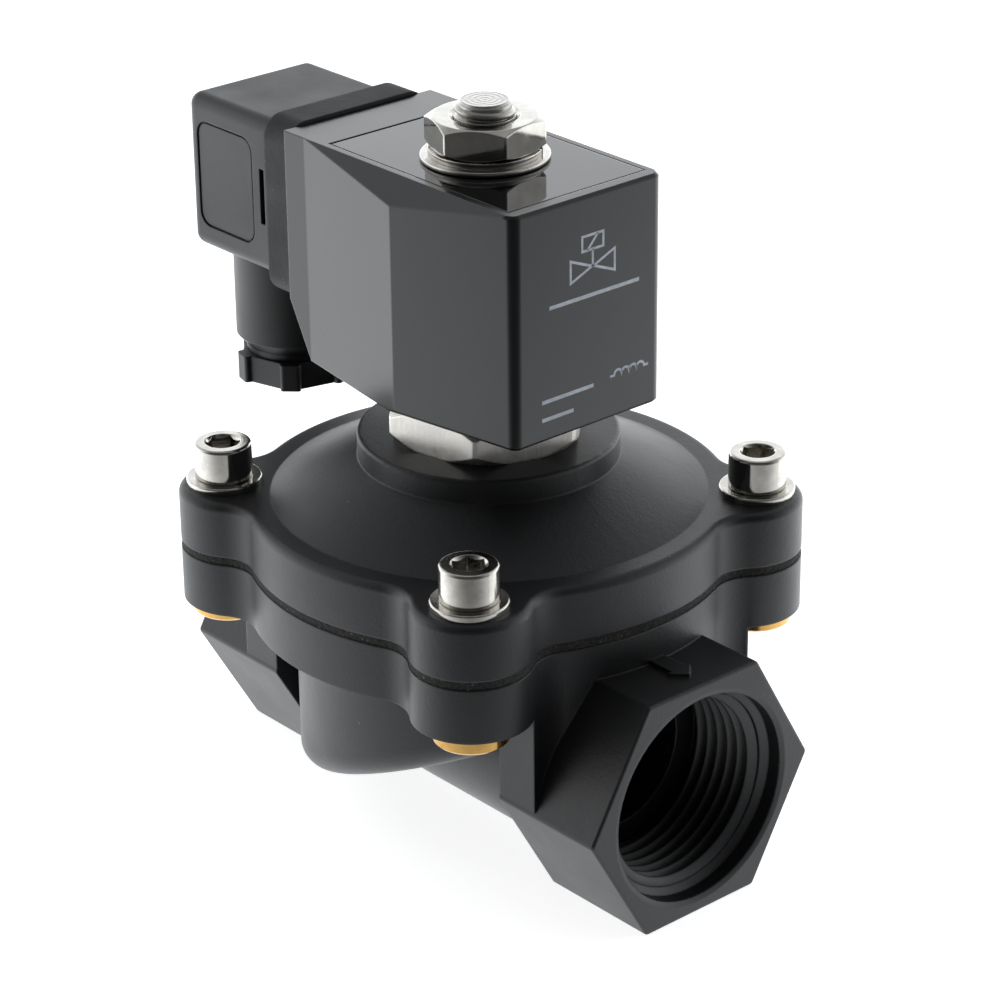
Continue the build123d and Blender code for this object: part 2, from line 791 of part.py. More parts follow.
def housing_part():
    """The plug housing: a rounded box with side panels, rear screw recess and cable neck."""
    span = (housing_rear, gasket_rear)
    outer = block(
        span,
        (-housing_half_width, housing_half_width),
        (plug_centre_z - housing_half_height, plug_centre_z + housing_half_height),
    )
    front = outer.faces().sort_by(Axis.X)[-1].edges()
    keep = {edge.center().to_tuple() for edge in front}
    rounded = [edge for edge in outer.edges() if edge.center().to_tuple() not in keep]
    shape = fillet(rounded, housing_round)
    bottom = plug_centre_z - housing_half_height
    neck = spun([
        (0, gland_nut_top),
        (gland_throat_radius, gland_nut_top),
        (gland_throat_radius, gland_neck_end - gland_shoulder_height),
        (gland_neck_radius, gland_neck_end),
        (gland_neck_radius, bottom + 4),
        (0, bottom + 4),
    ])
    shape += Pos(neck_axis_x, 0, 0) * neck
    inner_y = housing_half_width - housing_wall
    inner_z = housing_half_height - housing_wall
    shape -= rounded_bar((housing_rear + housing_wall + 1.5, gasket_rear + 1), inner_y, inner_z, 1.0)
    shape -= upright(gland_bore, gland_nut_top - 1, bottom + housing_wall + 1, neck_axis_x)
    panel_x = (housing_rear + gasket_rear) / 2 + panel_centre_shift
    for side in (1, -1):
        shape -= side_panel(panel_x, side)
        slot_x = gasket_rear - 2.4
        y_span = tuple(sorted((side * (housing_half_width - latch_slot_depth), side * (housing_half_width + 1))))
        z_span = (plug_centre_z - latch_slot_height / 2, plug_centre_z + latch_slot_height / 2)
        shape -= block((slot_x - latch_slot_width, slot_x), y_span, z_span)
    recess = along_x(plug_screw_recess_radius, housing_rear - 1, housing_rear + 1.4, 0, plug_centre_z)
    shape -= recess
    return shape - along_x(plug_screw_radius + 0.2, housing_rear - 1, gasket_rear, 0, plug_centre_z)


def side_panel(x, side):
    """The shallow groove that frames the round-cornered panel on the plug's side."""
    y_face = side * housing_half_width
    y_span = tuple(sorted((y_face - side * panel_depth, y_face + side)))

    def slab(shrink):
        length = panel_half_length - shrink
        height = panel_half_height - shrink
        bar = block((x - length, x + length), y_span, (plug_centre_z - height, plug_centre_z + height))
        return fillet(bar.edges().filter_by(Axis.Y), panel_round - shrink)

    inner = slab(0.35) & block((x - 50, x + 50), (-housing_half_width + 0.15, housing_half_width - 0.15), (0, 200))
    return slab(0) - inner


def terminal_block_part():
    """The insert that holds the plug's contacts."""
    rear = gasket_rear - block_length
    front = coil_rear - 1.0
    shape = block(
        (rear, gasket_rear),
        (-block_half_width, block_half_width),
        (plug_centre_z - block_half_height, plug_centre_z + block_half_height),
    )
    nose = gasket_window_half - 0.3
    shape += rounded_bar((gasket_rear - 1, front), nose, nose, gasket_window_round)
    for blade in blades_part() + [earth_blade_part()]:
        box = blade.bounding_box()
        low, high = box.min, box.max
        shape -= block(
            (low.X - 0.5, high.X),
            (low.Y - blade_slot_gap, high.Y + blade_slot_gap),
            (low.Z - blade_slot_gap, high.Z + blade_slot_gap),
        )
    for y, z in terminal_places():
        shape -= along_x(terminal_screw_radius, rear - 1, rear + terminal_screw_height, y, z)
    return shape - along_x(plug_screw_radius + 0.2, rear - 1, coil_rear, 0, plug_centre_z)


def terminal_places():
    """Where the three contact screws sit, across and up."""
    half = blade_spacing / 2
    return [(half - 1.5, plug_centre_z + 5), (1.5 - half, plug_centre_z + 5), (0, plug_centre_z - earth_drop + 1)]


def terminal_screws_part():
    """The slotted screws that clamp the wires."""
    rear = gasket_rear - block_length
    solids = []
    for y, z in terminal_places():
        screw = along_x(terminal_screw_radius, rear - 0.6, rear + terminal_screw_height, y, z)
        solids.append(screw - block((rear - 1, rear + 0.2), (y - 0.3, y + 0.3), (z - 3, z + 3)))
    return solids


def plug_screw_part():
    """The long screw that holds the plug on the coil."""
    seat = housing_rear + 1.4
    shape = along_x(plug_screw_radius, seat, coil_rear + plug_screw_end, 0, plug_centre_z)
    head = along_x(plug_screw_head_radius, seat - plug_screw_head_height, seat - 0.8, 0, plug_centre_z)
    rim = head.edges().filter_by(GeomType.CIRCLE).group_by(Axis.X)[0]
    head = fillet(rim, 0.5)
    shape += head + along_x(plug_screw_radius, seat - 1, seat, 0, plug_centre_z)
    slot_x = (seat - plug_screw_head_height - 1, seat - plug_screw_head_height + 0.9)
    return shape - block(slot_x, (-4, 4), (plug_centre_z - 0.4, plug_centre_z + 0.4))


def plug_screw_seal_part():
    """The small washer that seals the screw's head."""
    seat = housing_rear + 1.4
    outer = along_x(plug_screw_head_radius - 0.2, seat - 0.8, seat, 0, plug_centre_z)
    return outer - along_x(plug_screw_radius, seat - 2, seat + 1, 0, plug_centre_z)


def gland_nut_part():
    """The ribbed hexagonal nut that squeezes the cable seal."""
    nut = hex_prism(gland_nut_flats, gland_nut_bottom, gland_nut_top)
    nut = fillet(nut.edges().filter_by(Axis.Z), 1.5)
    lug_width = (-gland_lug_half_width, gland_lug_half_width)
    lug = block((gland_lug_reach - 4, gland_lug_reach), lug_width, (gland_nut_bottom, gland_nut_top))
    lug = fillet(lug.edges().filter_by(Axis.Z).group_by(Axis.X)[-1], 0.6)
    for corner in range(6):
        nut += Rot(0, 0, 60 * corner) * lug
    nut -= upright(gland_opening, gland_nut_bottom - 1, gland_nut_top + 1)
    nut -= upright(gland_bore, gland_nut_bottom + 1.8, gland_nut_top + 1)
    return Pos(neck_axis_x, 0, 0) * Rot(0, 0, gland_nut_turn) * nut


def gland_washer_part():
    """The plain ring between gland nut and cable seal."""
    bottom = gland_nut_bottom + 1.8
    return ring(gland_bore - 0.1, gland_opening, bottom, bottom + gland_washer_thickness, neck_axis_x)


def grommet_part():
    """The rubber seal that grips a cable."""
    bottom = gland_nut_bottom + 1.8 + gland_washer_thickness
    return ring(gland_bore - 0.1, grommet_bore, bottom, bottom + grommet_length, neck_axis_x)


def coil_washer_part():
    """The flat washer between nut and coil."""
    disc = ring(coil_washer_radius, stud_radius + 0.2, coil_top, coil_top + coil_washer_thickness)
    edges = disc.edges().filter_by(GeomType.CIRCLE).sort_by(SortBy.RADIUS)[-2:]
    return fillet(edges, 0.35)


def lock_washer_part():
    """The split spring washer under the nut."""
    low = coil_top + coil_washer_thickness
    disc = ring(lock_washer_radius, stud_radius + 0.15, low, nut_bottom)
    slit = block((0, lock_washer_radius + 1), (-lock_washer_slit / 2, lock_washer_slit / 2), (low - 1, nut_bottom + 1))
    return disc - Rot(0, 0, nut_turn) * slit


def coil_nut_part():
    """The nut that clamps the coil on the stud."""
    bottom = nut_bottom
    top = nut_top
    nut = hex_prism(nut_flats, bottom, top, nut_turn)
    corner = nut_flats / sqrt(3)
    cone = tan(radians(30))
    blank = spun([
        (0, bottom),
        (nut_flats / 2 - 0.2, bottom),
        (corner - 0.1, bottom + (corner - nut_flats / 2 + 0.1) * cone),
        (corner - 0.1, top - (corner - nut_flats / 2 + 0.1) * cone),
        (nut_flats / 2 - 0.2, top),
        (0, top),
    ])
    nut &= blank
    nut -= upright(stud_radius + thread_gap, bottom - 1, top + 1)
    mouth = stud_radius + thread_gap
    return nut - spun([(0, top - 0.7), (mouth, top - 0.7), (mouth + 0.8, top + 0.1), (0, top + 0.1)])


parts = {
    "body": body_part,
    "cover": cover_part,
    "diaphragm_rim": diaphragm_part,
    "diaphragm_web": web_part,
    "diaphragm_pad": pad_part,
    "diaphragm_plate": plate_part,
    "pilot_nozzle": nozzle_part,
    "pilot_nut": pilot_nut_part,
    "diaphragm_spring": diaphragm_spring_part,
    "threaded_inserts": inserts_part,
    "cap_screws": bolts_part,
    "screw_washers": bolt_washers_part,
    "guide_hex": guide_part,
    "guide_seal": guide_seal_part,
    "armature_tube": tube_part,
    "fixed_core": core_part,
    "shading_ring": shading_ring_part,
    "plunger": plunger_part,
    "plunger_seal": plunger_seal_part,
    "plunger_spring": plunger_spring_part,
    "coil_seat_washer": coil_seat_part,
    "coil_jacket": encapsulation_part,
    "yoke": yoke_part,
    "bobbin": bobbin_part,
    "winding": winding_part,
    "winding_tape": winding_tape_part,
    "supply_blades": blades_part,
    "earth_blade": earth_blade_part,
    "plug_insert": coil_insert_part,
    "coil_washer": coil_washer_part,
    "lock_washer": lock_washer_part,
    "coil_nut": coil_nut_part,
    "plug_gasket": gasket_part,
    "plug_housing": housing_part,
    "terminal_block": terminal_block_part,
    "terminal_screws": terminal_screws_part,
    "plug_screw": plug_screw_part,
    "plug_screw_seal": plug_screw_seal_part,
    "gland_nut": gland_nut_part,
    "gland_washer": gland_washer_part,
    "gland_seal": grommet_part,
}

os.makedirs("parts", exist_ok=True)
for name, build in parts.items():
    made = build()
    if isinstance(made, list):
        made = Compound(children=[solid for shape in made for solid in shape.solids()])
    made.label = name
    export_step(made, f"parts/{name}.step")
    print(name, round(made.volume, 1))
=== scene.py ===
import json
import math

import bmesh
import bpy
import numpy as np
from mathutils import Matrix, Vector


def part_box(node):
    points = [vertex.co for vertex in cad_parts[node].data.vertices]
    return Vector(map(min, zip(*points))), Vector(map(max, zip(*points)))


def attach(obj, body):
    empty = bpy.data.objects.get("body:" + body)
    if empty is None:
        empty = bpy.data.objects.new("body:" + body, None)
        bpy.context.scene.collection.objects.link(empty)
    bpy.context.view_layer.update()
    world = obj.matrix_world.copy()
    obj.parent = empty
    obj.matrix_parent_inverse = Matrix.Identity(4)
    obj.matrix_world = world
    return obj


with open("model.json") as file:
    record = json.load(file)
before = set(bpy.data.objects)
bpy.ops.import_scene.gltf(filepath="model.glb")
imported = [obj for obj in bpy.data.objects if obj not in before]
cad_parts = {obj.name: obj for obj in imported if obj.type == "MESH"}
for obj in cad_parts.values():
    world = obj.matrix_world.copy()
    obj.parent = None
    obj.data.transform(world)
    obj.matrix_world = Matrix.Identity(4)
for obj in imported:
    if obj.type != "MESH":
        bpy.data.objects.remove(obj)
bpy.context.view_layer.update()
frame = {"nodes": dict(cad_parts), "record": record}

mm = 0.001
nodes = frame["nodes"]


def pieceFromGrids(name, grids):
    # each grid is (points, closeU, closeV, capU); points is a (rows, columns, 3) array of places in metres,
    # and neighbours in it become four-sided faces
    corners, faces, start = [], [], 0
    for points, closeU, closeV, capU in grids:
        rows, columns = points.shape[:2]
        index = np.arange(rows * columns).reshape(rows, columns) + start
        up = np.roll(index, -1, 0) if closeU else index[1:]
        low = index if closeU else index[:-1]
        if closeV:
            quads = np.stack([low, np.roll(low, -1, 1), np.roll(up, -1, 1), up], -1)
        else:
            quads = np.stack([low[:, :-1], low[:, 1:], up[:, 1:], up[:, :-1]], -1)
        faces += quads.reshape(-1, 4).tolist()
        if capU:
            faces += [index[0][::-1].tolist(), index[-1].tolist()]
        corners.append(points.reshape(-1, 3))
        start += rows * columns
    mesh = bpy.data.meshes.new(name)
    mesh.from_pydata(np.concatenate(corners).tolist(), [], faces)
    turned = bmesh.new()
    turned.from_mesh(mesh)
    bmesh.ops.recalc_face_normals(turned, faces=turned.faces)
    turned.to_mesh(mesh)
    turned.free()
    piece = bpy.data.objects.new(name, mesh)
    bpy.context.scene.collection.objects.link(piece)
    return piece


def shadeSmooth(piece, angle):
    # smooth shading, with edges sharper than the angle kept crisp
    piece.data.shade_smooth()
    piece.data.set_sharp_from_angle(angle=math.radians(angle))
    return piece


def finishPiece(piece, body, material):
    piece.data.materials.clear()
    piece.data.materials.append(material)
    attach(piece, body)
    return piece


# small node builders shared by the groups and the materials

def newGroup(name, inputs, outputs):
    group = bpy.data.node_groups.new(name, "ShaderNodeTree")
    for label, kind, default in inputs:
        socket = group.interface.new_socket(label, in_out="INPUT", socket_type=kind)
        if default is not None:
            socket.default_value = default
    for label, kind in outputs:
        group.interface.new_socket(label, in_out="OUTPUT", socket_type=kind)
    return group, group.nodes.new("NodeGroupInput"), group.nodes.new("NodeGroupOutput")


def feed(tree, socket, value):
    if isinstance(value, (int, float, tuple)):
        socket.default_value = value
    elif value is not None:
        tree.links.new(value, socket)


def mathNode(tree, operation, a, b=None, clamp=False):
    node = tree.nodes.new("ShaderNodeMath")
    node.operation = operation
    node.use_clamp = clamp
    feed(tree, node.inputs[0], a)
    feed(tree, node.inputs[1], b)
    return node.outputs[0]


def vectorNode(tree, operation, a, b=None, result="Vector"):
    node = tree.nodes.new("ShaderNodeVectorMath")
    node.operation = operation
    feed(tree, node.inputs[0], a)
    feed(tree, node.inputs[1], b)
    return node.outputs[result]


def rampNode(tree, value, low, high, first=0.0, last=1.0, soft=False):
    # value is spread so that low becomes first and high becomes last
    node = tree.nodes.new("ShaderNodeMapRange")
    node.interpolation_type = "SMOOTHSTEP" if soft else "LINEAR"
    for label, number in (("From Min", low), ("From Max", high), ("To Min", first), ("To Max", last)):
        node.inputs[label].default_value = number
    tree.links.new(value, node.inputs["Value"])
    return node.outputs["Result"]


def noiseNode(tree, vector, scale, detail=3.0, roughness=0.55):
    node = tree.nodes.new("ShaderNodeTexNoise")
    node.inputs["Detail"].default_value = detail
    node.inputs["Roughness"].default_value = roughness
    tree.links.new(vector, node.inputs["Vector"])
    feed(tree, node.inputs["Scale"], scale)
    return node.outputs["Fac"]


def objectPlace(tree):
    return tree.nodes.new("ShaderNodeTexCoord").outputs["Object"]


def makeMouldGrain():
    # fine spark-eroded grain: two sizes of noise added, plus a broad cloud for uneven shine
    group, start, end = newGroup(
        "mouldGrain",
        [("Grain Size", "NodeSocketFloat", 2600.0), ("Cloud Size", "NodeSocketFloat", 60.0)],
        [("Height", "NodeSocketFloat"), ("Cloud", "NodeSocketFloat")],
    )
    place = objectPlace(group)
    fine = noiseNode(group, place, start.outputs["Grain Size"], 2.0, 0.6)
    third = mathNode(group, "MULTIPLY", start.outputs["Grain Size"], 0.31)
    coarse = noiseNode(group, place, third, 2.0, 0.5)
    fineShare = mathNode(group, "MULTIPLY", fine, 0.6)
    coarseShare = mathNode(group, "MULTIPLY", coarse, 0.4)
    height = mathNode(group, "ADD", fineShare, coarseShare)
    cloud = noiseNode(group, place, start.outputs["Cloud Size"], 4.0, 0.6)
    group.links.new(height, end.inputs["Height"])
    group.links.new(rampNode(group, cloud, 0.3, 0.7), end.inputs["Cloud"])
    return group


def makeDustSpecks():
    # sparse pale specks: small dots in random cells, most cells left empty
    group, start, end = newGroup(
        "dustSpecks",
        [("Spacing", "NodeSocketFloat", 300.0), ("Dot Size", "NodeSocketFloat", 0.12),
         ("Amount", "NodeSocketFloat", 0.4)],
        [("Mask", "NodeSocketFloat")],
    )
    cells = group.nodes.new("ShaderNodeTexVoronoi")
    group.links.new(objectPlace(group), cells.inputs["Vector"])
    group.links.new(start.outputs["Spacing"], cells.inputs["Scale"])
    dot = mathNode(group, "LESS_THAN", cells.outputs["Distance"], start.outputs["Dot Size"])
    parts = group.nodes.new("ShaderNodeSeparateColor")
    group.links.new(cells.outputs["Color"], parts.inputs["Color"])
    kept = mathNode(group, "LESS_THAN", parts.outputs["Red"], start.outputs["Amount"])
    group.links.new(mathNode(group, "MULTIPLY", dot, kept), end.inputs["Mask"])
    return group


def makeEdgeScuff():
    # rubbed edges: where the rounded normal leaves the true one, broken up by noise
    group, start, end = newGroup(
        "edgeScuff",
        [("Rounded", "NodeSocketVector", None), ("Break Size", "NodeSocketFloat", 900.0)],
        [("Mask", "NodeSocketFloat")],
    )
    true = group.nodes.new("ShaderNodeNewGeometry").outputs["Normal"]
    alike = vectorNode(group, "DOT_PRODUCT", start.outputs["Rounded"], true, "Value")
    edge = rampNode(group, alike, 0.995, 0.86)
    breaks = noiseNode(group, objectPlace(group), start.outputs["Break Size"], 3.0, 0.65)
    patch = rampNode(group, breaks, 0.42, 0.66)
    group.links.new(mathNode(group, "MULTIPLY", edge, patch, clamp=True), end.inputs["Mask"])
    return group


def makeTurnedRings():
    # lathe rings: the distance from an upright axis, wavered by noise, through a sine. Fold at 1 drops the
    # signs of X and Y, so four mirrored axes share one
    group, start, end = newGroup(
        "turnedRings",
        [("Axis", "NodeSocketVector", None), ("Fold", "NodeSocketFloat", 0.0),
         ("Rings", "NodeSocketFloat", 9000.0)],
        [("Height", "NodeSocketFloat")],
    )
    place = objectPlace(group)
    folded = vectorNode(group, "ABSOLUTE", place)
    choose = group.nodes.new("ShaderNodeMix")
    choose.data_type = "VECTOR"  # its vector sockets are inputs 4 and 5 and output 1
    group.links.new(start.outputs["Fold"], choose.inputs["Factor"])
    group.links.new(place, choose.inputs[4])
    group.links.new(folded, choose.inputs[5])
    away = vectorNode(group, "SUBTRACT", choose.outputs[1], start.outputs["Axis"])
    flat = vectorNode(group, "MULTIPLY", away, (1.0, 1.0, 0.0))
    distance = vectorNode(group, "LENGTH", flat, None, "Value")
    waver = mathNode(group, "MULTIPLY", noiseNode(group, place, 700.0, 2.0), 0.00025)
    wavered = mathNode(group, "ADD", distance, waver)
    wave = mathNode(group, "SINE", mathNode(group, "MULTIPLY", wavered, start.outputs["Rings"]))
    group.links.new(rampNode(group, wave, -1.0, 1.0), end.inputs["Height"])
    return group


def makeToolMarks():
    # straight fine scores: noise squeezed along two directions, so it runs long along the third
    group, start, end = newGroup(
        "toolMarks",
        [("Stretch", "NodeSocketVector", None), ("Size", "NodeSocketFloat", 1.0)],
        [("Height", "NodeSocketFloat")],
    )
    long = vectorNode(group, "MULTIPLY", objectPlace(group), start.outputs["Stretch"])
    scores = noiseNode(group, long, start.outputs["Size"], 3.0, 0.7)
    group.links.new(rampNode(group, scores, 0.3, 0.7), end.inputs["Height"])
    return group


mouldGrain = makeMouldGrain()
dustSpecks = makeDustSpecks()
edgeScuff = makeEdgeScuff()
turnedRings = makeTurnedRings()
toolMarks = makeToolMarks()
print("node groups made")


def startMaterial(name):
    material = bpy.data.materials.new(name)
    material.use_nodes = True
    tree = material.node_tree
    return material, tree, tree.nodes["Principled BSDF"]


def placeGroup(tree, group, **values):
    node = tree.nodes.new("ShaderNodeGroup")
    node.node_tree = group
    for label, value in values.items():
        feed(tree, node.inputs[label.replace("_", " ")], value)
    return node


def roundEdges(tree, radius):
    bevel = tree.nodes.new("ShaderNodeBevel")
    bevel.samples = 6
    bevel.inputs["Radius"].default_value = radius
    return bevel.outputs["Normal"]


def bumpFrom(tree, shader, height, strength, distance, normal):
    bump = tree.nodes.new("ShaderNodeBump")
    bump.inputs["Strength"].default_value = strength
    bump.inputs["Distance"].default_value = distance
    tree.links.new(height, bump.inputs["Height"])
    tree.links.new(normal, bump.inputs["Normal"])
    tree.links.new(bump.outputs["Normal"], shader.inputs["Normal"])


def mixColour(tree, amount, first, second):
    node = tree.nodes.new("ShaderNodeMix")
    node.data_type = "RGBA"
    tree.links.new(amount, node.inputs["Factor"])
    for socket, value in ((node.inputs["A"], first), (node.inputs["B"], second)):
        feed(tree, socket, (*value, 1.0) if isinstance(value, tuple) else value)
    return node.outputs["Result"]


def mouldedPlastic(name, look):
    # moulding or rubber: colour drifts with a broad cloud, specks lie on it, edges are rubbed, and fine
    # grain gives the bump
    material, tree, shader = startMaterial(name)
    rounded = roundEdges(tree, look["edge"])
    grain = placeGroup(tree, mouldGrain, Grain_Size=look["grainSize"], Cloud_Size=look["cloudSize"])
    specks = placeGroup(
        tree, dustSpecks,
        Spacing=look["speckSpacing"], Dot_Size=look["speckSize"], Amount=look["speckAmount"])
    scuff = placeGroup(tree, edgeScuff, Rounded=rounded)
    base = mixColour(tree, grain.outputs["Cloud"], look["dark"], look["light"])
    worn = mixColour(tree, scuff.outputs["Mask"], base, look["rubbed"])
    colour = mixColour(tree, specks.outputs["Mask"], worn, look["speckColour"])
    tree.links.new(colour, shader.inputs["Base Color"])
    low, high = look["roughness"]
    tree.links.new(rampNode(tree, grain.outputs["Cloud"], 0.0, 1.0, low, high), shader.inputs["Roughness"])
    bumpFrom(tree, shader, grain.outputs["Height"], look["bump"], look["bumpDepth"], rounded)
    shader.inputs["Specular IOR Level"].default_value = look["specular"]
    return material


def metal(name, look):
    # metal with drifting tone, lathe rings or straight tool marks, and slightly uneven shine
    material, tree, shader = startMaterial(name)
    rounded = roundEdges(tree, look["edge"])
    grain = placeGroup(tree, mouldGrain, Grain_Size=look["grainSize"], Cloud_Size=look["cloudSize"])
    height = grain.outputs["Height"]
    for kind, group in (("rings", turnedRings), ("scores", toolMarks)):
        if kind in look:
            marks = placeGroup(tree, group, **look[kind])
            share = mathNode(tree, "MULTIPLY", marks.outputs["Height"], look["markShare"])
            height = mathNode(tree, "ADD", height, share)
    base = mixColour(tree, grain.outputs["Cloud"], look["dark"], look["light"])
    scuff = placeGroup(tree, edgeScuff, Rounded=rounded)
    worn = mixColour(tree, scuff.outputs["Mask"], base, look["rubbed"])
    tree.links.new(worn, shader.inputs["Base Color"])
    shader.inputs["Metallic"].default_value = 1.0
    low, high = look["roughness"]
    tree.links.new(rampNode(tree, grain.outputs["Cloud"], 0.0, 1.0, low, high), shader.inputs["Roughness"])
    bumpFrom(tree, shader, height, look["bump"], look["bumpDepth"], rounded)
    return material


# the axis of the screw on the +X +Y side: its head touches two sides of the four screws' box
screwHeadRadius = 4.75 * mm
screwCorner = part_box("cap_screws")[1]
screwAxis = (screwCorner.x - screwHeadRadius, screwCorner.y - screwHeadRadius, 0.0)

